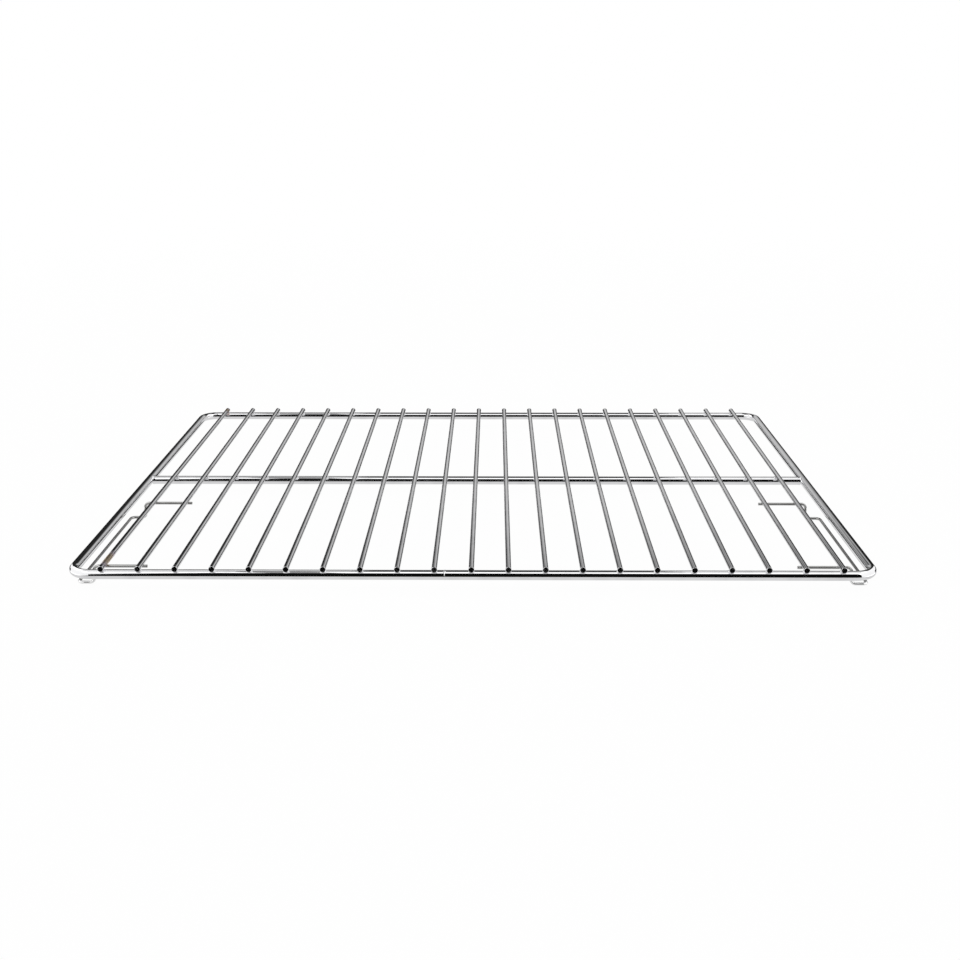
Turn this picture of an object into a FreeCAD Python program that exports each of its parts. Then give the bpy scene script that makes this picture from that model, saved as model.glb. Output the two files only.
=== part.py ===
import FreeCAD, Part
import math
import os

import Sketcher

# Oven shelf rack: a welded wire grid of plated steel rods, in millimetres.
# The rack lies level with +X across its width, +Y from the near run to the far run and +Z up.
# Its origin is on the floor plane below its middle, where the two guide rails touch down.

doc = FreeCAD.newDocument("oven_shelf_rack")

# Driving dimensions
DRIVING_SIZES = (
    ("shelf_width", "650", "over the outside of both side runs of the frame"),
    ("shelf_depth", "530", "length of a grid wire, the shelf's overall depth"),
    ("wire_overhang", "0.3", "each wire end stands this far past the outside of the frame"),
    ("frame_rod_dia", "8", "rod of the rounded rectangle"),
    ("corner_radius", "16", "bend of the frame rod's centre line at each corner"),
    ("cross_rod_dia", "8", "rod across the middle"),
    ("wire_dia", "4.5", "grid wire"),
    ("wire_count", "21", "grid wires side by side"),
    ("wire_edge_gap", "26.5", "from a side run's centre line to the first wire's"),
    ("weld_set", "0.2", "depth that a weld sinks a wire onto what it crosses"),
    ("cross_weld_set", "0.8", "depth that a weld sinks the cross rod's ends into the side runs"),
    ("guide_dia", "2.5", "wire of the drop guides"),
    ("guide_bend", "4", "bends of the guide wire's centre line"),
    ("guide_bend_steps", "3", "short mitred turns that each such bend is made of"),
    ("guide_tip_past", "4.2", "guide tips stand this far past the second wire"),
    ("guide_leg_inset", "16.5", "from a side run's centre line in to the guide's legs"),
    ("guide_rail_inset", "3.1", "from a side run's centre line in to the guide's rail"),
    ("guide_drop", "13.85", "from the guide's top runs down to its rail"),
    ("guide_setback", "11.2", "from the near run's centre line back to the guide's near leg"),
    ("guide_length", "166", "from the guide's near leg to its far leg"),
    ("seam_past_wire", "8.5", "from the wire left of the middle to the frame's butt weld"),
    ("seam_bead_width", "1.6", "foot of the butt weld's bead, along the rod"),
    ("seam_bead_proud", "0.25", "height of that bead above the rod"),
)

sizes = doc.addObject("Spreadsheet::Sheet", "Sizes")
for row, (alias, number, meaning) in enumerate(DRIVING_SIZES, start=1):
    sizes.set(f"A{row}", meaning)
    sizes.set(f"B{row}", number)
    sizes.setAlias(f"B{row}", alias)
doc.recompute()

# Places that several pieces share, as expressions on the sheet
SIDE_X = "(Sizes.shelf_width - Sizes.frame_rod_dia) / 2"
RUN_Y = "(Sizes.shelf_depth / 2 - Sizes.wire_overhang - Sizes.frame_rod_dia / 2)"
FRAME_Z = "(Sizes.guide_drop + Sizes.guide_dia - Sizes.frame_rod_dia / 2)"
CROSS_Z = f"({FRAME_Z} + (Sizes.frame_rod_dia - Sizes.cross_rod_dia) / 2)"
WIRE_Z = f"({FRAME_Z} + (Sizes.frame_rod_dia + Sizes.wire_dia) / 2 - Sizes.weld_set)"
GUIDE_TOP_Z = "(Sizes.guide_drop + Sizes.guide_dia / 2)"
GUIDE_NEAR_Y = f"(-{RUN_Y} + Sizes.guide_setback)"
GUIDE_FAR_Y = f"({GUIDE_NEAR_Y} + Sizes.guide_length)"
WIRE_PITCH = f"(({SIDE_X} - Sizes.wire_edge_gap) * 2 / (Sizes.wire_count - 1))"
SEAM_X = f"(Sizes.seam_past_wire - {WIRE_PITCH})"


def value(expression):
    """Number that an expression on the sheet gives now."""
    return float(sizes.evalExpression(expression))


def new_body(label):
    body = doc.addObject("PartDesign::Body", label)
    body.Label = label
    return body


def new_sketch(body, name, role, offset=None):
    """Sketch on one of the body's own origin planes, or at an offset along that plane's normal."""
    sketch = body.newObject("Sketcher::SketchObject", name)
    plane = next(feature for feature in body.Origin.OriginFeatures if feature.Role == role)
    sketch.AttachmentSupport = (plane, [""])
    sketch.MapMode = "FlatFace"
    if offset:
        sketch.setExpression("AttachmentOffset.Base.z", offset)
    return sketch


def constrain(sketch, expression, kind, *elements):
    """Dimension that takes its value from an expression."""
    index = sketch.addConstraint(Sketcher.Constraint(kind, *elements, value(expression)))
    sketch.setExpression(f"Constraints[{index}]", expression)


def place_point(sketch, geometry, point, across, up):
    constrain(sketch, across, "DistanceX", -1, 1, geometry, point)
    constrain(sketch, up, "DistanceY", -1, 1, geometry, point)


def add_circle(sketch, across, up, diameter):
    centre = FreeCAD.Vector(value(across), value(up), 0)
    normal = FreeCAD.Vector(0, 0, 1)
    circle = sketch.addGeometry(Part.Circle(centre, normal, value(diameter) / 2), False)
    place_point(sketch, circle, 3, across, up)
    constrain(sketch, diameter, "Diameter", circle)
    return circle


def add_outline(sketch, corners):
    """Closed outline of straight lines through corners given as pairs of expressions."""
    points = [FreeCAD.Vector(value(across), value(up), 0) for across, up in corners]
    lines = []
    for start, end in zip(points, points[1:] + points[:1]):
        lines.append(sketch.addGeometry(Part.LineSegment(start, end), False))
    for line, follower, (across, up) in zip(lines, lines[1:] + lines[:1], corners):
        sketch.addConstraint(Sketcher.Constraint("Coincident", line, 2, follower, 1))
        place_point(sketch, line, 1, across, up)


def add_seat(sketch, across, up, diameter):
    """Flat that a weld presses into a wire over a rod, as long as the rod is wide at the wire's foot."""
    half = f"sqrt(Sizes.weld_set * ({diameter} - Sizes.weld_set))"
    crest = f"{up} + {diameter} / 2"
    near, far = f"{across} - {half}", f"{across} + {half}"
    add_outline(sketch, ((near, crest), (far, crest), (far, up), (near, up)))


def pad_both_ways(body, name, sketch, length):
    pad = body.newObject("PartDesign::Pad", name)
    pad.Profile = sketch
    pad.SideType = "Symmetric"
    pad.setExpression("Length", length)
    return pad


def cut_seats(body, name, sketch, before):
    """Cut right across the piece, both ways from the sketch, and see that metal came away."""
    pocket = body.newObject("PartDesign::Pocket", name)
    pocket.Profile = sketch
    pocket.SideType = "Symmetric"
    pocket.Type = "ThroughAll"
    doc.recompute()
    if not pocket.Shape.Volume < before.Shape.Volume:
        raise RuntimeError(f"{body.Label}: the seats cut nothing")


def corner_arc(sketch, across, up, first_quarter):
    """Quarter bend about its centre, starting at a count of quarter turns from the sketch's X."""
    centre = FreeCAD.Vector(across, up, 0)
    circle = Part.Circle(centre, FreeCAD.Vector(0, 0, 1), value("Sizes.corner_radius"))
    start = first_quarter * math.pi / 2
    return sketch.addGeometry(Part.ArcOfCircle(circle, start, start + math.pi / 2), False)


# Frame rod: one rod bent round four corners, its ends butt-welded on the near run.
# The centre line starts and ends at that weld, and the weld's bead is the crest of a double cone.
def make_frame_rod():
    body = new_body("frame_rod")
    path = new_sketch(body, "frame_path", "XY_Plane", FRAME_Z)
    side, run, seam = value(SIDE_X), value(RUN_Y), value(SEAM_X)
    radius = value("Sizes.corner_radius")

    def straight(x1, y1, x2, y2):
        ends = FreeCAD.Vector(x1, y1, 0), FreeCAD.Vector(x2, y2, 0)
        return path.addGeometry(Part.LineSegment(*ends), False)

    near_right = straight(seam, -run, side - radius, -run)
    bend_near_right = corner_arc(path, side - radius, radius - run, 3)
    right = straight(side, radius - run, side, run - radius)
    bend_far_right = corner_arc(path, side - radius, run - radius, 0)
    far = straight(side - radius, run, radius - side, run)
    bend_far_left = corner_arc(path, radius - side, run - radius, 1)
    left = straight(-side, run - radius, -side, radius - run)
    bend_near_left = corner_arc(path, radius - side, radius - run, 2)
    near_left = straight(radius - side, -run, seam, -run)

    order = (near_right, bend_near_right, right, bend_far_right, far,
             bend_far_left, left, bend_near_left, near_left)
    for before, after in zip(order, order[1:]):
        path.addConstraint(Sketcher.Constraint("Tangent", before, 2, after, 1))
    path.addConstraint(Sketcher.Constraint("Coincident", near_left, 2, near_right, 1))
    for level in (near_right, far, near_left):
        path.addConstraint(Sketcher.Constraint("Horizontal", level))
    for upright in (right, left):
        path.addConstraint(Sketcher.Constraint("Vertical", upright))
    for bend in (bend_far_right, bend_far_left, bend_near_left):
        path.addConstraint(Sketcher.Constraint("Equal", bend_near_right, bend))
    constrain(path, "Sizes.corner_radius", "Radius", bend_near_right)
    place_point(path, near_right, 1, SEAM_X, f"-{RUN_Y}")
    constrain(path, SIDE_X, "DistanceX", -1, 1, right, 1)
    constrain(path, f"-{SIDE_X}", "DistanceX", -1, 1, left, 1)
    constrain(path, RUN_Y, "DistanceY", -1, 1, far, 1)

    section = new_sketch(body, "frame_section", "YZ_Plane", SEAM_X)
    add_circle(section, f"-{RUN_Y}", FRAME_Z, "Sizes.frame_rod_dia")
    doc.recompute()
    rod = body.newObject("PartDesign::AdditivePipe", "frame_pipe")
    rod.Profile = section
    rod.Spine = (path, [f"Edge{number}" for number in range(1, len(order) + 1)])
    doc.recompute()

    bead = new_sketch(body, "seam_section", "XY_Plane", FRAME_Z)
    crest = "(Sizes.frame_rod_dia / 2 + Sizes.seam_bead_proud)"
    flank = f"Sizes.seam_bead_width / 2 * {crest} / Sizes.seam_bead_proud"
    add_outline(bead, (
        (f"{SEAM_X} - {flank}", f"-{RUN_Y}"),
        (SEAM_X, f"-{RUN_Y} - {crest}"),
        (f"{SEAM_X} + {flank}", f"-{RUN_Y}"),
    ))
    axis_ends = FreeCAD.Vector(seam, -run, 0), FreeCAD.Vector(seam + radius, -run, 0)
    axis = bead.addGeometry(Part.LineSegment(*axis_ends), True)
    bead.addConstraint(Sketcher.Constraint("Horizontal", axis))
    place_point(bead, axis, 1, SEAM_X, f"-{RUN_Y}")
    constrain(bead, "Sizes.corner_radius", "DistanceX", axis, 1, axis, 2)
    doc.recompute()
    ring = body.newObject("PartDesign::Revolution", "seam_bead")
    ring.Profile = bead
    ring.ReferenceAxis = (bead, ["Axis0"])
    ring.Angle = 360
    doc.recompute()
    return body


# Cross rod: straight, level on top with the frame, its ends welded into the side runs.
def make_cross_rod():
    body = new_body("cross_rod")
    section = new_sketch(body, "cross_section", "YZ_Plane")
    add_circle(section, "0", CROSS_Z, "Sizes.cross_rod_dia")
    length = f"2 * ({SIDE_X} - Sizes.frame_rod_dia / 2 + Sizes.cross_weld_set)"
    rod = pad_both_ways(body, "cross_pad", section, length)
    doc.recompute()
    seats = new_sketch(body, "cross_seats", "XZ_Plane")
    for side in ("-", ""):
        add_circle(seats, side + SIDE_X, FRAME_Z, "Sizes.frame_rod_dia")
    cut_seats(body, "cross_seat_cut", seats, rod)
    return body


# Grid wires: straight, welded down on the near run, the cross rod and the far run.
# The two outermost wires at each side also carry the top runs of a drop guide under them.
def make_grid_wire(number, count):
    body = new_body(f"grid_wire_{number:02d}")
    body.setExpression("Placement.Base.x", f"{WIRE_PITCH} * ({number} - (Sizes.wire_count + 1) / 2)")
    section = new_sketch(body, f"wire_section_{number:02d}", "XZ_Plane")
    add_circle(section, "0", WIRE_Z, "Sizes.wire_dia")
    wire = pad_both_ways(body, f"wire_pad_{number:02d}", section, "Sizes.shelf_depth")
    doc.recompute()
    seats = new_sketch(body, f"wire_seats_{number:02d}", "YZ_Plane")
    add_seat(seats, f"-{RUN_Y}", FRAME_Z, "Sizes.frame_rod_dia")
    add_seat(seats, "0", CROSS_Z, "Sizes.cross_rod_dia")
    add_seat(seats, RUN_Y, FRAME_Z, "Sizes.frame_rod_dia")
    if number <= 2 or number >= count - 1:
        for guide_y in (GUIDE_NEAR_Y, GUIDE_FAR_Y):
            add_seat(seats, guide_y, GUIDE_TOP_Z, "Sizes.guide_dia")
    cut_seats(body, f"wire_seat_cut_{number:02d}", seats, wire)
    return body


def bent_wire(corners, radius, steps):
    """Centre line through square corners, each bent in equal small turns about the given radius."""
    turn = math.pi / 2 / steps
    reach = radius / math.cos(turn / 2)
    points = [corners[0]]
    for before, corner, after in zip(corners, corners[1:], corners[2:]):
        back = (before - corner).normalize()
        ahead = (after - corner).normalize()
        centre = corner + (back + ahead) * radius
        for step in range(steps):
            angle = (step + 0.5) * turn
            points.append(centre - (ahead * math.cos(angle) + back * math.sin(angle)) * reach)
    return Part.makePolygon(points + [corners[-1]])


# Drop guides: one wire each, from a tip under the outer grid wires out to a leg, down to the
# rail that runs under the side of the frame, and back up to a second tip the same way.
def make_guide(label, side):
    tip_x = side * value(f"{SIDE_X} - Sizes.wire_edge_gap - {WIRE_PITCH} - Sizes.guide_tip_past")
    leg_x = side * value(f"{SIDE_X} - Sizes.guide_leg_inset")
    rail_x = side * value(f"{SIDE_X} - Sizes.guide_rail_inset")
    near_y, far_y = value(GUIDE_NEAR_Y), value(GUIDE_FAR_Y)
    top_z = value(GUIDE_TOP_Z)
    rail_z = top_z - value("Sizes.guide_drop")
    corners = (
        (tip_x, near_y, top_z),
        (leg_x, near_y, top_z),
        (leg_x, near_y, rail_z),
        (rail_x, near_y, rail_z),
        (rail_x, far_y, rail_z),
        (leg_x, far_y, rail_z),
        (leg_x, far_y, top_z),
        (tip_x, far_y, top_z),
    )
    path = doc.addObject("Part::Feature", f"{label}_path")
    centre_line = [FreeCAD.Vector(*corner) for corner in corners]
    steps = round(value("Sizes.guide_bend_steps"))
    path.Shape = bent_wire(centre_line, value("Sizes.guide_bend"), steps)
    section = doc.addObject("Part::Circle", f"{label}_section")
    section.setExpression("Radius", "Sizes.guide_dia / 2")
    across = FreeCAD.Rotation(FreeCAD.Vector(0, 0, 1), FreeCAD.Vector(side, 0, 0))
    section.Placement = FreeCAD.Placement(FreeCAD.Vector(*corners[0]), across)
    guide = doc.addObject("Part::Sweep", label)
    guide.Label = label
    guide.Sections = [section]
    guide.Spine = (path, [f"Edge{number}" for number in range(1, len(path.Shape.Edges) + 1)])
    guide.Solid = True
    guide.Transition = "Right corner"
    doc.recompute()
    return guide


wire_count = round(value("Sizes.wire_count"))
pieces = [make_frame_rod(), make_cross_rod()]
pieces += [make_grid_wire(number, wire_count) for number in range(1, wire_count + 1)]
pieces += [make_guide("guide_left", -1), make_guide("guide_right", 1)]
doc.recompute()

# Nothing is written unless every feature and every piece is sound
for item in doc.Objects:
    if "Invalid" in item.State or "Error" in item.State:
        raise RuntimeError(f"{item.Label}: {item.State}")
for piece in pieces:
    shape = piece.Shape
    if shape.isNull() or not shape.isValid() or len(shape.Solids) != 1:
        raise RuntimeError(f"{piece.Label}: not one sound solid")

os.makedirs("parts", exist_ok=True)
for piece in pieces:
    piece.Shape.exportStep(f"parts/{piece.Label}.step")
    print(piece.Label, "volume", round(piece.Shape.Volume, 1))
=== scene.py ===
import math

import bmesh
import bpy
from mathutils import Matrix, Vector


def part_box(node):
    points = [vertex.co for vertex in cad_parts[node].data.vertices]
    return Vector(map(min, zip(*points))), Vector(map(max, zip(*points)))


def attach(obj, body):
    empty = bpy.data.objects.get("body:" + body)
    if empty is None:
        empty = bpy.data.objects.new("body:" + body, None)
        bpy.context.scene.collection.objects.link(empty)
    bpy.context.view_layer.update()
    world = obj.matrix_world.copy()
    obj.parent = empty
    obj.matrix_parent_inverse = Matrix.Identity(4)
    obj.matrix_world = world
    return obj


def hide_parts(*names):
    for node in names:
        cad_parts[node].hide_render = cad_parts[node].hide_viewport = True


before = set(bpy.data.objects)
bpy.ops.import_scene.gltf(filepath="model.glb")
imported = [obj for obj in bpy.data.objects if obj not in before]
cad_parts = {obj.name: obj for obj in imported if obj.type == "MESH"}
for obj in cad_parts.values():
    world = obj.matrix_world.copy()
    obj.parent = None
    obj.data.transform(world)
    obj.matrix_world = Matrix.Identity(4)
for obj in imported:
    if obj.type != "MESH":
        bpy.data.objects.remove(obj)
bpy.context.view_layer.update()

# Frame rod: one thick steel rod bent round four corners into a rectangle, its two ends butt-welded
# on the near run. The rack is polished and chrome plated as a whole, after all its welds are made.
cross_low, cross_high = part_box("cross_rod")
rod_radius = (cross_high.z - cross_low.z) / 2
rod_level = (cross_high.z + cross_low.z) / 2
frame_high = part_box("frame_rod")[1]
side_x = frame_high.x - rod_radius
run_y = frame_high.y - rod_radius
corner_bend = 0.016
corner_steps = 24
rod_sides = 64
hold_length = 0.0009
seam_past_wire = 0.0085
wire_left_of_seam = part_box("grid_wire_10")
seam_x = (wire_left_of_seam[0].x + wire_left_of_seam[1].x) / 2 + seam_past_wire
bead_proud = 0.00015
bead_rings = ((0.0002, 0.00013), (0.0005, 0.00006), (0.0008, 0.0))
merge_distance = 0.000002
cloud_scale = 70
cloud_detail = 4
cloud_edges = (0.42, 0.72)
ripple_scale = 160
ripple_detail = 2


def ring_verts(ring):
    return list({vert for edge in ring for vert in edge.verts})


def first_ring(mesh, centre, heading, radius, sides):
    """Open ring of edges where a rod starts, square to its heading."""
    turn = Vector(heading).to_track_quat("Z", "X").to_matrix().to_4x4()
    place = Matrix.Translation(centre) @ turn
    made = bmesh.ops.create_circle(mesh, segments=sides, radius=radius, matrix=place)
    return list({edge for vert in made["verts"] for edge in vert.link_edges})


def draw_straight(mesh, ring, travel):
    """Carries the open ring of a rod along a straight run."""
    made = bmesh.ops.extrude_edge_only(mesh, edges=ring)["geom"]
    moved = {item for item in made if isinstance(item, bmesh.types.BMVert)}
    bmesh.ops.translate(mesh, verts=list(moved), vec=travel)
    edges = [item for item in made if isinstance(item, bmesh.types.BMEdge)]
    return [edge for edge in edges if set(edge.verts) <= moved]


def draw_run(mesh, ring, travel):
    """Carries the open ring along a long run, with a ring near each end to keep the shading even."""
    hold = Vector(travel).normalized() * hold_length
    ring = draw_straight(mesh, ring, hold)
    ring = draw_straight(mesh, ring, Vector(travel) - hold * 2)
    return draw_straight(mesh, ring, hold)


def draw_bend(mesh, ring, centre, axis, angle, steps):
    """Carries the open ring of a rod round a bend."""
    made = bmesh.ops.spin(mesh, geom=ring_verts(ring) + ring, cent=centre, axis=axis,
                          angle=angle, steps=steps, use_merge=False, use_duplicate=False)
    return [item for item in made["geom_last"] if isinstance(item, bmesh.types.BMEdge)]


def swell_ring(mesh, ring, centre, factor):
    """Widens or narrows the open ring of a rod about its centre."""
    bmesh.ops.scale(mesh, vec=(factor,) * 3, space=Matrix.Translation(-Vector(centre)),
                    verts=ring_verts(ring))


def piece_from(mesh, name, material, nodes):
    """Closes a mesh into a smooth piece that stands for its CAD nodes."""
    bmesh.ops.remove_doubles(mesh, verts=mesh.verts, dist=merge_distance)
    bmesh.ops.recalc_face_normals(mesh, faces=mesh.faces)
    for face in mesh.faces:
        face.smooth = True
    data = bpy.data.meshes.new(name)
    mesh.to_mesh(data)
    mesh.free()
    data.materials.append(material)
    piece = bpy.data.objects.new(name, data)
    bpy.context.scene.collection.objects.link(piece)
    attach(piece, "root")
    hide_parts(*nodes)
    return piece


def add_node(tree, kind, **settings):
    node = tree.nodes.new(kind)
    for name, setting in settings.items():
        setattr(node, name, setting)
    return node


def plated_skin_group():
    """Bright plating on polished steel: faint clouds of haze and the ripple that polishing leaves."""
    group = bpy.data.node_groups.new("plated_skin", "ShaderNodeTree")
    for name, kind in (("Bright", "Color"), ("Dull", "Color"), ("Gloss", "Float"), ("Haze", "Float")):
        group.interface.new_socket(name, in_out="INPUT", socket_type=f"NodeSocket{kind}")
    for name, kind in (("Colour", "Color"), ("Roughness", "Float"), ("Height", "Float")):
        group.interface.new_socket(name, in_out="OUTPUT", socket_type=f"NodeSocket{kind}")
    given = add_node(group, "NodeGroupInput")
    taken = add_node(group, "NodeGroupOutput")
    place = add_node(group, "ShaderNodeTexCoord")
    clouds = add_node(group, "ShaderNodeTexNoise")
    clouds.inputs["Scale"].default_value = cloud_scale
    clouds.inputs["Detail"].default_value = cloud_detail
    spread = add_node(group, "ShaderNodeMapRange", interpolation_type="SMOOTHSTEP")
    spread.inputs["From Min"].default_value = cloud_edges[0]
    spread.inputs["From Max"].default_value = cloud_edges[1]
    colour = add_node(group, "ShaderNodeMix", data_type="RGBA")
    roughness = add_node(group, "ShaderNodeMix", data_type="FLOAT")
    ripple = add_node(group, "ShaderNodeTexNoise")
    ripple.inputs["Scale"].default_value = ripple_scale
    ripple.inputs["Detail"].default_value = ripple_detail
    link = group.links.new
    link(place.outputs["Object"], clouds.inputs["Vector"])
    link(place.outputs["Object"], ripple.inputs["Vector"])
    link(clouds.outputs["Fac"], spread.inputs["Value"])
    link(spread.outputs["Result"], colour.inputs["Factor"])
    link(spread.outputs["Result"], roughness.inputs["Factor"])
    link(given.outputs["Bright"], colour.inputs["A"])
    link(given.outputs["Dull"], colour.inputs["B"])
    link(given.outputs["Gloss"], roughness.inputs["A"])
    link(given.outputs["Haze"], roughness.inputs["B"])
    link(colour.outputs["Result"], taken.inputs["Colour"])
    link(roughness.outputs["Result"], taken.inputs["Roughness"])
    link(ripple.outputs["Fac"], taken.inputs["Height"])
    return group


plated_skin = plated_skin_group()


def chrome(name, bright, dull, gloss, haze, ripple):
    """Chrome plate of its own brightness, with the haze and the ripple of its skin."""
    material = bpy.data.materials.new(name)
    material.use_nodes = True
    tree = material.node_tree
    shader = tree.nodes["Principled BSDF"]
    shader.inputs["Metallic"].default_value = 1
    skin = add_node(tree, "ShaderNodeGroup", node_tree=plated_skin)
    skin.inputs["Bright"].default_value = (*bright, 1)
    skin.inputs["Dull"].default_value = (*dull, 1)
    skin.inputs["Gloss"].default_value = gloss
    skin.inputs["Haze"].default_value = haze
    bump = add_node(tree, "ShaderNodeBump")
    bump.inputs["Distance"].default_value = ripple
    tree.links.new(skin.outputs["Colour"], shader.inputs["Base Color"])
    tree.links.new(skin.outputs["Roughness"], shader.inputs["Roughness"])
    tree.links.new(skin.outputs["Height"], bump.inputs["Height"])
    tree.links.new(bump.outputs["Normal"], shader.inputs["Normal"])
    return material


rod_chrome = chrome("rod_chrome", bright=(0.86, 0.86, 0.87), dull=(0.78, 0.78, 0.79),
                    gloss=0.03, haze=0.07, ripple=0.0000015)

frame_mesh = bmesh.new()
heading = Vector((1, 0, 0))
seam = Vector((seam_x, -run_y, rod_level))
bead_crest = 1 + bead_proud / rod_radius
frame_ring = first_ring(frame_mesh, seam, heading, rod_radius * bead_crest, rod_sides)
crest_now = bead_crest
place = seam.copy()
for past_seam, proud in bead_rings:
    step = seam + heading * past_seam - place
    frame_ring = draw_straight(frame_mesh, frame_ring, step)
    place += step
    crest_next = 1 + proud / rod_radius
    swell_ring(frame_mesh, frame_ring, place, crest_next / crest_now)
    crest_now = crest_next
bend_x = side_x - corner_bend
bend_y = run_y - corner_bend
for centre_x, centre_y in ((bend_x, -bend_y), (bend_x, bend_y), (-bend_x, bend_y), (-bend_x, -bend_y)):
    centre = Vector((centre_x, centre_y, rod_level))
    frame_ring = draw_run(frame_mesh, frame_ring, heading * (centre - place).dot(heading))
    frame_ring = draw_bend(frame_mesh, frame_ring, centre, (0, 0, 1), math.pi / 2, corner_steps)
    place = centre + heading * corner_bend
    heading = Vector((-heading.y, heading.x, 0))
for before_seam, proud in reversed(bead_rings):
    step = seam - heading * before_seam - place
    draw = draw_run if step.length > corner_bend else draw_straight
    frame_ring = draw(frame_mesh, frame_ring, step)
    place += step
    crest_next = 1 + proud / rod_radius
    swell_ring(frame_mesh, frame_ring, place, crest_next / crest_now)
    crest_now = crest_next
frame_ring = draw_straight(frame_mesh, frame_ring, seam - place)
swell_ring(frame_mesh, frame_ring, seam, bead_crest / crest_now)
piece_from(frame_mesh, "plated_frame_rod", rod_chrome, ["frame_rod"])

# Cross rod: a straight length of the same rod across the middle. Each end is butt-welded into a
# side run of the frame, and the weld leaves a low collar round the joint.
collar_rings = ((0.0022, 0.0), (0.0014, 0.00018), (0.0006, 0.00022))
cross_mesh = bmesh.new()
cross_half = cross_high.x
cross_ring = first_ring(cross_mesh, (-cross_half, 0, rod_level), (1, 0, 0), rod_radius, rod_sides)
bmesh.ops.contextual_create(cross_mesh, geom=cross_ring)
cross_stops = [(-cross_half + inset, proud) for inset, proud in reversed(collar_rings)]
cross_stops += [(cross_half - inset, proud) for inset, proud in collar_rings]
cross_stops += [(cross_half, 0.0)]
place_x = -cross_half
proud_now = 0.0
for stop_x, proud in cross_stops:
    draw = draw_run if stop_x - place_x > corner_bend else draw_straight
    cross_ring = draw(cross_mesh, cross_ring, (stop_x - place_x, 0, 0))
    swell = (rod_radius + proud) / (rod_radius + proud_now)
    swell_ring(cross_mesh, cross_ring, (stop_x, 0, rod_level), swell)
    place_x = stop_x
    proud_now = proud
bmesh.ops.contextual_create(cross_mesh, geom=cross_ring)
piece_from(cross_mesh, "plated_cross_rod", rod_chrome, ["cross_rod"])

# Grid wires: straight lengths of thin drawn wire, cropped at both ends and laid over the rods.
# Each is resistance-welded where it crosses a rod, which squeezes out a small pad of metal. The
# shears that crop a wire leave its ends a little spread, downward and to both sides.
wire_names = sorted(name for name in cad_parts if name.startswith("grid_wire"))
wire_sides = 48
crop_round = 0.0003
crop_round_steps = 3
crop_margin = 0.2
crop_spread = 1.12
crop_length = 0.0007
spread_length = 0.0016
pad_half = Vector((0.0025, 0.0016, 0.0005))
pad_segments = 20
pad_rings = 12
bloom_violet = (0.62, 0.6, 0.7, 1)
bloom_mauve = (0.56, 0.5, 0.54, 1)
bloom_brown = (0.52, 0.42, 0.3, 1)
mauve_from = 0.35
brown_from = 0.7
bloom_matt = 0.38
bloom_fade = 0.35
rod_crest = rod_level + rod_radius
wire_chrome = chrome("wire_chrome", bright=(0.84, 0.84, 0.85), dull=(0.74, 0.74, 0.75),
                     gloss=0.05, haze=0.1, ripple=0.000002)


def round_crops(mesh, offset):
    """Takes the edge off the cropped ends of a wire and keeps their faces flat."""
    crops = [face for face in mesh.faces if len(face.verts) > 4]
    rims = list({edge for face in crops for edge in face.edges})
    bmesh.ops.bevel(mesh, geom=rims, affect="EDGES", offset=offset, segments=crop_round_steps,
                    profile=0.5, material=-1)
    crops = [face for face in mesh.faces if len(face.verts) > 4]
    bmesh.ops.inset_individual(mesh, faces=crops, thickness=offset * crop_margin, depth=0)


def add_weld_pad(mesh, centre, half):
    place = Matrix.Translation(centre) @ Matrix.Diagonal((*half, 1))
    bmesh.ops.create_uvsphere(mesh, u_segments=pad_segments, v_segments=pad_rings, radius=1, matrix=place)


def weld_bloom_group():
    """Matt colours of plating that is burnt round a weld: brown inside, violet outside."""
    group = bpy.data.node_groups.new("weld_bloom", "ShaderNodeTree")
    for name, kind in (("Colour", "Color"), ("Roughness", "Float"), ("Spot", "Vector"), ("Reach", "Vector")):
        group.interface.new_socket(name, in_out="INPUT", socket_type=f"NodeSocket{kind}")
    for name, kind in (("Colour", "Color"), ("Roughness", "Float")):
        group.interface.new_socket(name, in_out="OUTPUT", socket_type=f"NodeSocket{kind}")
    given = add_node(group, "NodeGroupInput")
    taken = add_node(group, "NodeGroupOutput")
    look = add_node(group, "ShaderNodeTexCoord")
    about = add_node(group, "ShaderNodeMapping", vector_type="TEXTURE")
    near = add_node(group, "ShaderNodeTexGradient", gradient_type="SPHERICAL")
    bands = add_node(group, "ShaderNodeValToRGB")
    outer, inner = bands.color_ramp.elements
    outer.color = bloom_violet
    inner.position = brown_from
    inner.color = bloom_brown
    bands.color_ramp.elements.new(mauve_from).color = bloom_mauve
    strength = add_node(group, "ShaderNodeMapRange", interpolation_type="SMOOTHSTEP")
    strength.inputs["From Max"].default_value = bloom_fade
    tinted = add_node(group, "ShaderNodeMix", data_type="RGBA")
    matt = add_node(group, "ShaderNodeMix", data_type="FLOAT")
    matt.inputs["B"].default_value = bloom_matt
    link = group.links.new
    link(look.outputs["Object"], about.inputs["Vector"])
    link(given.outputs["Spot"], about.inputs["Location"])
    link(given.outputs["Reach"], about.inputs["Scale"])
    link(about.outputs["Vector"], near.inputs["Vector"])
    link(near.outputs["Fac"], bands.inputs["Fac"])
    link(near.outputs["Fac"], strength.inputs["Value"])
    link(strength.outputs["Result"], tinted.inputs["Factor"])
    link(given.outputs["Colour"], tinted.inputs["A"])
    link(bands.outputs["Color"], tinted.inputs["B"])
    link(tinted.outputs["Result"], taken.inputs["Colour"])
    link(strength.outputs["Result"], matt.inputs["Factor"])
    link(given.outputs["Roughness"], matt.inputs["A"])
    link(matt.outputs["Result"], taken.inputs["Roughness"])
    return group


weld_bloom = weld_bloom_group()


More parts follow.
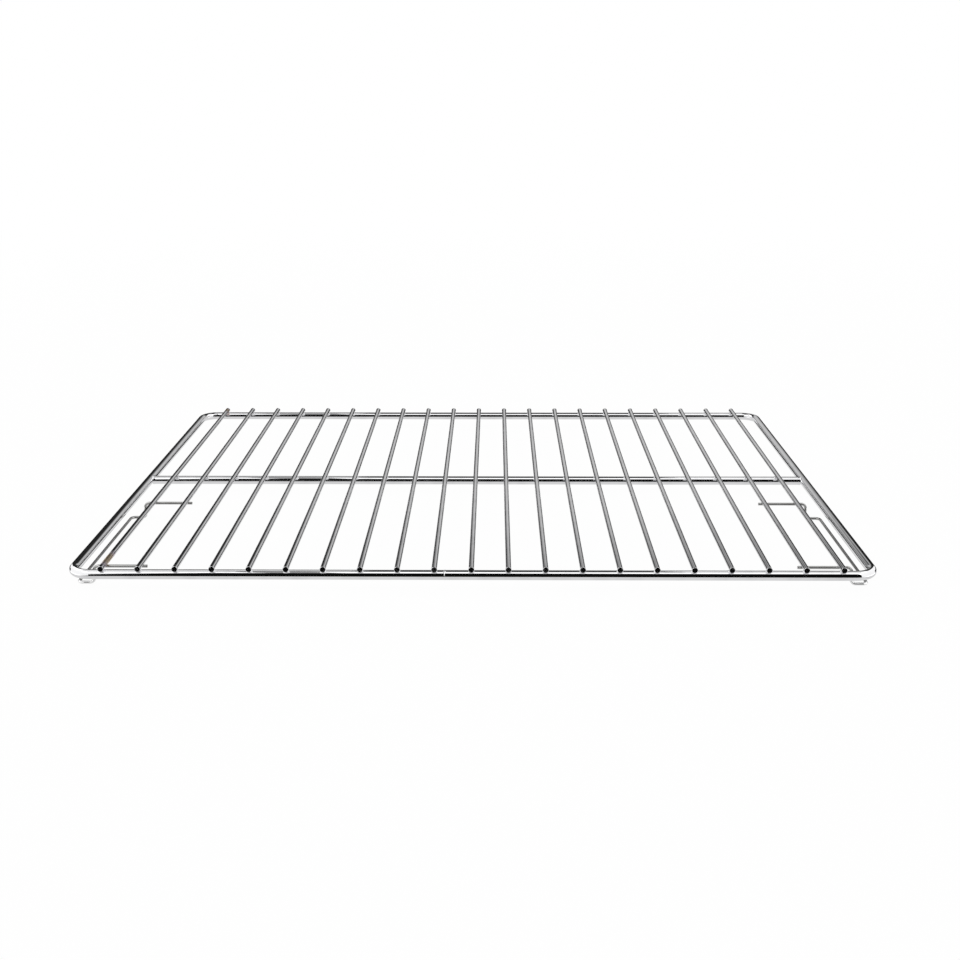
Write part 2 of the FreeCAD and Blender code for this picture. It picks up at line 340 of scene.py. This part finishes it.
def add_bloom(material, spot, reach):
    """Puts the bloom of one weld over the colour and gloss that a plating material already has."""
    tree = material.node_tree
    bloom = add_node(tree, "ShaderNodeGroup", node_tree=weld_bloom)
    bloom.inputs["Spot"].default_value = spot
    bloom.inputs["Reach"].default_value = reach
    shader = tree.nodes["Principled BSDF"]
    for name, socket in (("Colour", "Base Color"), ("Roughness", "Roughness")):
        tree.links.new(shader.inputs[socket].links[0].from_socket, bloom.inputs[name])
        tree.links.new(bloom.outputs[name], shader.inputs[socket])


first_low, first_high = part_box(wire_names[0])
first_x = (first_low.x + first_high.x) / 2
guide_weld_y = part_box("guide_left")[0].y
scorched_chrome = wire_chrome.copy()
scorched_chrome.name = "scorched_chrome"
near_bloom_shift = (0.001, 0.006)
near_bloom_reach = 0.02
far_bloom_inset = 0.004
far_bloom_reach = 0.009
blooms = (
    ((first_x + near_bloom_shift[0], guide_weld_y + near_bloom_shift[1], first_high.z), near_bloom_reach),
    ((first_x, run_y - far_bloom_inset, first_high.z), far_bloom_reach),
)
for spot, reach in blooms:
    add_bloom(scorched_chrome, spot, (reach, reach, reach))

for name in wire_names:
    low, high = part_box(name)
    middle = (low + high) / 2
    wire_radius = (high.z - low.z) / 2
    wire_mesh = bmesh.new()
    wire_start = Vector((middle.x, low.y, middle.z))
    wire_crest = Vector((middle.x, low.y, high.z))
    wire_ring = first_ring(wire_mesh, wire_start, (0, 1, 0), wire_radius, wire_sides)
    swell_ring(wire_mesh, wire_ring, wire_crest, crop_spread)
    bmesh.ops.contextual_create(wire_mesh, geom=wire_ring)
    inner_length = high.y - low.y - 2 * (crop_length + spread_length)
    lengths = (crop_length, spread_length, inner_length, spread_length, crop_length)
    for length, swell in zip(lengths, (1, 1 / crop_spread, 1, crop_spread, 1)):
        draw = draw_run if length == inner_length else draw_straight
        wire_ring = draw(wire_mesh, wire_ring, (0, length, 0))
        wire_crest.y += length
        swell_ring(wire_mesh, wire_ring, wire_crest, swell)
    bmesh.ops.contextual_create(wire_mesh, geom=wire_ring)
    round_crops(wire_mesh, crop_round)
    for rod_y in (-run_y, 0, run_y):
        add_weld_pad(wire_mesh, (middle.x, rod_y, rod_crest), pad_half)
    plating = scorched_chrome if name == wire_names[0] else wire_chrome
    piece_from(wire_mesh, f"plated_{name}", plating, [name])

# Drop guides: one thin wire at each side, bent out from under two grid wires, down to a rail that
# rides below the oven's runner, and back up the same way. Its top runs are welded under the wires.
# Its dark colour is painted shade from the frame, and the bend hanging clear has a painted highlight.
guide_radius = 0.00125
guide_bend = 0.004
guide_bend_steps = 10
guide_sides = 40
guide_leg_inset = 0.0165
# Reach, colour and fade of the painted highlight on the bend that hangs clear below the frame.
bend_highlight_reach = (0.012, 0.0045, 0.0075)
bend_highlight_colour = (0.88, 0.88, 0.88, 1)
bend_highlight_fade = 0.3


def bend_highlight_group():
    """Painted highlight: a brighter colour round a spot."""
    group = bpy.data.node_groups.new("painted_bend_highlight", "ShaderNodeTree")
    for name, kind in (("Colour", "Color"), ("Highlight", "Color"), ("Spot", "Vector"), ("Reach", "Vector")):
        group.interface.new_socket(name, in_out="INPUT", socket_type=f"NodeSocket{kind}")
    group.interface.new_socket("Colour", in_out="OUTPUT", socket_type="NodeSocketColor")
    given = add_node(group, "NodeGroupInput")
    taken = add_node(group, "NodeGroupOutput")
    look = add_node(group, "ShaderNodeTexCoord")
    about = add_node(group, "ShaderNodeMapping", vector_type="TEXTURE")
    near = add_node(group, "ShaderNodeTexGradient", gradient_type="SPHERICAL")
    strength = add_node(group, "ShaderNodeMapRange", interpolation_type="SMOOTHSTEP")
    strength.inputs["From Max"].default_value = bend_highlight_fade
    highlight_node = add_node(group, "ShaderNodeMix", data_type="RGBA")
    link = group.links.new
    link(look.outputs["Object"], about.inputs["Vector"])
    link(given.outputs["Spot"], about.inputs["Location"])
    link(given.outputs["Reach"], about.inputs["Scale"])
    link(about.outputs["Vector"], near.inputs["Vector"])
    link(near.outputs["Fac"], strength.inputs["Value"])
    link(strength.outputs["Result"], highlight_node.inputs["Factor"])
    link(given.outputs["Colour"], highlight_node.inputs["A"])
    link(given.outputs["Highlight"], highlight_node.inputs["B"])
    link(highlight_node.outputs["Result"], taken.inputs["Colour"])
    return group


painted_bend_highlight = bend_highlight_group()


def paint_bend_highlight(material, spot):
    """Paints a highlight, a brighter colour, round the bend that hangs clear below the frame."""
    tree = material.node_tree
    base = tree.nodes["Principled BSDF"].inputs["Base Color"]
    highlight_node = add_node(tree, "ShaderNodeGroup", node_tree=painted_bend_highlight)
    highlight_node.inputs["Highlight"].default_value = bend_highlight_colour
    highlight_node.inputs["Spot"].default_value = spot
    highlight_node.inputs["Reach"].default_value = bend_highlight_reach
    tree.links.new(base.links[0].from_socket, highlight_node.inputs["Colour"])
    tree.links.new(highlight_node.outputs["Colour"], base)


for label, side in (("guide_left", -1), ("guide_right", 1)):
    low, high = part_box(label)
    tip_x = min(abs(low.x), abs(high.x))
    rail_x = max(abs(low.x), abs(high.x)) - guide_radius
    leg_x = side_x - guide_leg_inset
    near_y = low.y + guide_radius
    far_y = high.y - guide_radius
    top_z = high.z - guide_radius
    rail_z = low.z + guide_radius
    corners = [Vector((side * x, y, z)) for x, y, z in (
        (tip_x, near_y, top_z),
        (leg_x, near_y, top_z),
        (leg_x, near_y, rail_z),
        (rail_x, near_y, rail_z),
        (rail_x, far_y, rail_z),
        (leg_x, far_y, rail_z),
        (leg_x, far_y, top_z),
        (tip_x, far_y, top_z),
    )]
    guide_mesh = bmesh.new()
    place = corners[0]
    heading = (corners[1] - corners[0]).normalized()
    guide_ring = first_ring(guide_mesh, place, heading, guide_radius, guide_sides)
    bmesh.ops.contextual_create(guide_mesh, geom=guide_ring)
    for corner, after in zip(corners[1:], corners[2:]):
        ahead = (after - corner).normalized()
        bend_start = corner - heading * guide_bend
        guide_ring = draw_run(guide_mesh, guide_ring, bend_start - place)
        guide_ring = draw_bend(guide_mesh, guide_ring, bend_start + ahead * guide_bend,
                               heading.cross(ahead), math.pi / 2, guide_bend_steps)
        place = corner + ahead * guide_bend
        heading = ahead
    guide_ring = draw_run(guide_mesh, guide_ring, corners[-1] - place)
    bmesh.ops.contextual_create(guide_mesh, geom=guide_ring)
    round_crops(guide_mesh, crop_round)
    # The dark colours below are painted shade, for the shade of the frame over the guide.
    plating = chrome(f"{label}_chrome", bright=(0.43, 0.43, 0.42), dull=(0.36, 0.35, 0.34),
                     gloss=0.05, haze=0.1, ripple=0.000002)
    # Painted highlight: a brighter colour round the bend that hangs clear below the frame.
    paint_bend_highlight(plating, (corners[2] + corners[3]) / 2)
    piece_from(guide_mesh, f"plated_{label}", plating, [label])

# Floor and board: the rack lies on a clear table. The camera sees it as a plain white floor with a
# faint shadow. The chrome looks through it at a white board well below, which ends before the camera.
def lay_sheet(name, low, high, level, material):
    """Flat rectangle of the set between two corners."""
    mesh = bmesh.new()
    spread = Matrix.Diagonal(((high[0] - low[0]) / 2, (high[1] - low[1]) / 2, 1, 1))
    middle = Matrix.Translation(((low[0] + high[0]) / 2, (low[1] + high[1]) / 2, level))
    bmesh.ops.create_grid(mesh, x_segments=1, y_segments=1, size=1, matrix=middle @ spread)
    data = bpy.data.meshes.new(name)
    mesh.to_mesh(data)
    mesh.free()
    data.materials.append(material)
    sheet = bpy.data.objects.new(name, data)
    bpy.context.scene.collection.objects.link(sheet)
    return sheet


def only_for_chrome(item):
    """Hides a card of the set from all but mirrored rays."""
    item.visible_camera = False
    item.visible_diffuse = False
    item.visible_shadow = False


floor_half = 6.0
floor_level = -0.0002
floor_tone = 0.8
white_share_far = 1.0
white_share_near = 0.97
near_reach = 2.5
near_edge = 0.6
floor_white = bpy.data.materials.new("floor_white")
floor_white.use_nodes = True
tree = floor_white.node_tree
tree.nodes.clear()
paper = add_node(tree, "ShaderNodeBsdfDiffuse")
paper.inputs["Color"].default_value = (floor_tone, floor_tone, floor_tone, 1)
white = add_node(tree, "ShaderNodeEmission")
seen_by = add_node(tree, "ShaderNodeLightPath")
look = add_node(tree, "ShaderNodeTexCoord")
about = add_node(tree, "ShaderNodeMapping", vector_type="TEXTURE")
about.inputs["Scale"].default_value = (near_reach, near_reach, near_reach)
near = add_node(tree, "ShaderNodeTexGradient", gradient_type="SPHERICAL")
fade = add_node(tree, "ShaderNodeMapRange")
fade.inputs["From Max"].default_value = near_edge
fade.inputs["To Min"].default_value = white_share_far
fade.inputs["To Max"].default_value = white_share_near
lift = add_node(tree, "ShaderNodeMath", operation="MULTIPLY")
lit = add_node(tree, "ShaderNodeMixShader")
floor_out = add_node(tree, "ShaderNodeOutputMaterial")
tree.links.new(look.outputs["Object"], about.inputs["Vector"])
tree.links.new(about.outputs["Vector"], near.inputs["Vector"])
tree.links.new(near.outputs["Fac"], fade.inputs["Value"])
tree.links.new(seen_by.outputs["Is Camera Ray"], lift.inputs[0])
tree.links.new(fade.outputs["Result"], lift.inputs[1])
tree.links.new(lift.outputs["Value"], lit.inputs["Fac"])
tree.links.new(paper.outputs["BSDF"], lit.inputs[1])
tree.links.new(white.outputs["Emission"], lit.inputs[2])
tree.links.new(lit.outputs["Shader"], floor_out.inputs["Surface"])
floor = lay_sheet("floor", (-floor_half, -floor_half), (floor_half, floor_half), floor_level, floor_white)
floor.visible_glossy = False

board_level = -0.6
board_low = (-3.5, -1.66)
board_high = (3.5, 2.7)
board_tone = 0.74
board_white = bpy.data.materials.new("board_white")
board_white.use_nodes = True
tree = board_white.node_tree
tree.nodes.clear()
board_lit = add_node(tree, "ShaderNodeEmission")
board_lit.inputs["Strength"].default_value = board_tone
board_out = add_node(tree, "ShaderNodeOutputMaterial")
tree.links.new(board_lit.outputs["Emission"], board_out.inputs["Surface"])
board = lay_sheet("board", board_low, board_high, board_level, board_white)
only_for_chrome(board)

# Studio room: white where the camera looks past the floor, and a weak fill for the shadows. The chrome
# mirrors a dark room, a little lighter high on the wall behind the rack.
wall_way = (0.05, 0.75, 0.8)
wall_reach = (1.3, 0.85, 0.85)
room_tone = 0.004
wall_tone = 0.14
fill_tone = 0.12
seen_tone = 1.0
world = bpy.data.worlds.new("studio")
bpy.context.scene.world = world
world.use_nodes = True
tree = world.node_tree
tree.nodes.clear()
look = add_node(tree, "ShaderNodeTexCoord")
upper_wall = add_node(tree, "ShaderNodeMapping", vector_type="TEXTURE")
upper_wall.inputs["Location"].default_value = wall_way
upper_wall.inputs["Scale"].default_value = wall_reach
oval = add_node(tree, "ShaderNodeTexGradient", gradient_type="SPHERICAL")
mirrored = add_node(tree, "ShaderNodeMapRange", interpolation_type="SMOOTHSTEP")
mirrored.inputs["To Min"].default_value = room_tone
mirrored.inputs["To Max"].default_value = wall_tone
seen_by = add_node(tree, "ShaderNodeLightPath")
filled = add_node(tree, "ShaderNodeMix", data_type="FLOAT")
filled.inputs["B"].default_value = fill_tone
shade = add_node(tree, "ShaderNodeMix", data_type="FLOAT")
shade.inputs["B"].default_value = seen_tone
background = add_node(tree, "ShaderNodeBackground")
room_out = add_node(tree, "ShaderNodeOutputWorld")
tree.links.new(look.outputs["Generated"], upper_wall.inputs["Vector"])
tree.links.new(upper_wall.outputs["Vector"], oval.inputs["Vector"])
tree.links.new(oval.outputs["Fac"], mirrored.inputs["Value"])
tree.links.new(seen_by.outputs["Is Diffuse Ray"], filled.inputs["Factor"])
tree.links.new(mirrored.outputs["Result"], filled.inputs["A"])
tree.links.new(seen_by.outputs["Is Camera Ray"], shade.inputs["Factor"])
tree.links.new(filled.outputs["Result"], shade.inputs["A"])
tree.links.new(shade.outputs["Result"], background.inputs["Color"])
tree.links.new(background.outputs["Background"], room_out.inputs["Surface"])

# Backdrop: a card behind the rack with two soft pools of light on it. Only the chrome sees it: it
# puts the grey sheen along the wires and side rods, which fades to dark at their outer edges.
backdrop_y = 1.4
backdrop_half = 1.0
backdrop_tone = 0.01
pool_edge = 0.75
backdrop_pools = ((0.14, 0.4, 0.75, 0.42, 0.58), (0.45, 0.8, 0.3, 0.26, 0.42))
backdrop_mesh = bmesh.new()
stand_up = Matrix.Translation((0, backdrop_y, backdrop_half)) @ Matrix.Rotation(math.pi / 2, 4, "X")
bmesh.ops.create_grid(backdrop_mesh, x_segments=1, y_segments=1, size=backdrop_half, matrix=stand_up)
backdrop_data = bpy.data.meshes.new("backdrop")
backdrop_mesh.to_mesh(backdrop_data)
backdrop_mesh.free()
backdrop = bpy.data.objects.new("backdrop", backdrop_data)
bpy.context.scene.collection.objects.link(backdrop)
only_for_chrome(backdrop)
backdrop_card = bpy.data.materials.new("backdrop_card")
backdrop_card.use_nodes = True
tree = backdrop_card.node_tree
tree.nodes.clear()
look = add_node(tree, "ShaderNodeTexCoord")
total = add_node(tree, "ShaderNodeMath", operation="ADD")
for entry, (pool_x, pool_z, half_x, half_z, tone) in enumerate(backdrop_pools):
    pool = add_node(tree, "ShaderNodeMapping", vector_type="TEXTURE")
    pool.inputs["Location"].default_value = (pool_x, backdrop_y, pool_z)
    pool.inputs["Scale"].default_value = (half_x, 1, half_z)
    oval = add_node(tree, "ShaderNodeTexGradient", gradient_type="SPHERICAL")
    pool_tone = add_node(tree, "ShaderNodeMapRange", interpolation_type="SMOOTHSTEP")
    pool_tone.inputs["From Max"].default_value = pool_edge
    pool_tone.inputs["To Min"].default_value = backdrop_tone
    pool_tone.inputs["To Max"].default_value = tone
    tree.links.new(look.outputs["Object"], pool.inputs["Vector"])
    tree.links.new(pool.outputs["Vector"], oval.inputs["Vector"])
    tree.links.new(oval.outputs["Fac"], pool_tone.inputs["Value"])
    tree.links.new(pool_tone.outputs["Result"], total.inputs[entry])
lit_card = add_node(tree, "ShaderNodeEmission")
card_out = add_node(tree, "ShaderNodeOutputMaterial")
tree.links.new(total.outputs["Value"], lit_card.inputs["Strength"])
tree.links.new(lit_card.outputs["Emission"], card_out.inputs["Surface"])
backdrop_data.materials.append(backdrop_card)

# Lamps: two softboxes hung above the rack and toward the camera, with a dim joint between them, and
# two panels hung behind it. Tall diffusers run along both sides, the front ones down to the board and
# the rear ones to a little above the table, and leave a dark gap round the camera.
panel_height = 4.0
rear_foot = 0.35
softbox_start = 54
softbox_stop = 88
softbox_tone = 1.35
joint_tone = 0.3
joint_left = -0.96
joint_right = -0.64
upright_tone = 1.1
left_meeting = (-2.52, 1.02)
right_meeting = (2.55, 1.02)


def place_panel(name, middle, toward, width, height, radiance):
    """Rectangular diffuser at a point, facing another, with the brightness of its face."""
    data = bpy.data.lights.new(name, "AREA")
    data.shape = "RECTANGLE"
    data.size = width
    data.size_y = height
    data.energy = radiance * math.pi * width * height
    panel = bpy.data.objects.new(name, data)
    panel.location = middle
    panel.rotation_euler = (Vector(toward) - Vector(middle)).to_track_quat("-Z", "Y").to_euler()
    bpy.context.scene.collection.objects.link(panel)


def reach_of(degrees):
    """Metres behind the rack, per metre up, of a line that rises at an angle from the camera's side."""
    return -1 / math.tan(math.radians(degrees))


def hang_panel(name, left, right, start, stop, radiance):
    """Panel overhead, from its edges in metres and the angles at which it starts and stops."""
    front = panel_height * reach_of(start)
    back = panel_height * reach_of(stop)
    middle = ((left + right) / 2, (front + back) / 2, panel_height)
    place_panel(name, middle, (middle[0], middle[1], 0), right - left, back - front, radiance)


def stand_panel(name, inner, outer, foot, radiance):
    """Upright panel between two points, from its foot up to the height of the others, facing the rack."""
    run = Vector((outer[0] - inner[0], outer[1] - inner[1], 0))
    middle = Vector(((inner[0] + outer[0]) / 2, (inner[1] + outer[1]) / 2, (foot + panel_height) / 2))
    facing = Vector((-run.y, run.x, 0)) * (1 if inner[0] < 0 else -1)
    place_panel(name, middle, middle - facing, run.length, panel_height - foot, radiance)


hang_panel("softbox_left", -3.0, joint_left, softbox_start, softbox_stop, softbox_tone)
hang_panel("softbox_joint", joint_left, joint_right, softbox_start, softbox_stop, joint_tone)
hang_panel("softbox_right", joint_right, 3.0, softbox_start, softbox_stop, softbox_tone)
hang_panel("panel_left", left=-4.6, right=-0.55, start=105, stop=155, radiance=1.1)
hang_panel("panel_right", left=0.75, right=3.0, start=94, stop=130, radiance=0.95)
stand_panel("upright_left", (-1.28, -3.26), left_meeting, board_level, upright_tone)
stand_panel("upright_left_rear", left_meeting, (-4.2, 6.8), rear_foot, upright_tone)
stand_panel("upright_right", (1.66, -2.1), right_meeting, board_level, upright_tone)
stand_panel("upright_right_rear", right_meeting, (4.2, 6.8), rear_foot, upright_tone)

# Camera: a 50 mm lens on a 36 mm sensor. It stands a little to the right of the rack's middle, in
# front of it, and looks down at it.
camera_x = 0.01802
camera_y = -1.254
camera_above_rods = 0.37838
camera_pitch = 16.776
camera_yaw = 0.637
camera_roll = -0.1
camera_data = bpy.data.cameras.new("camera")
camera_data.lens = 50
camera_data.sensor_width = 36
camera = bpy.data.objects.new("camera", camera_data)
camera.location = (camera_x, camera_y, rod_level + camera_above_rods)
camera.rotation_euler = (math.radians(90 - camera_pitch), 0, math.radians(camera_yaw))
camera.rotation_euler.rotate_axis("Z", math.radians(camera_roll))
bpy.context.scene.collection.objects.link(camera)
bpy.context.scene.camera = camera
bpy.context.scene.view_settings.view_transform = "Standard"
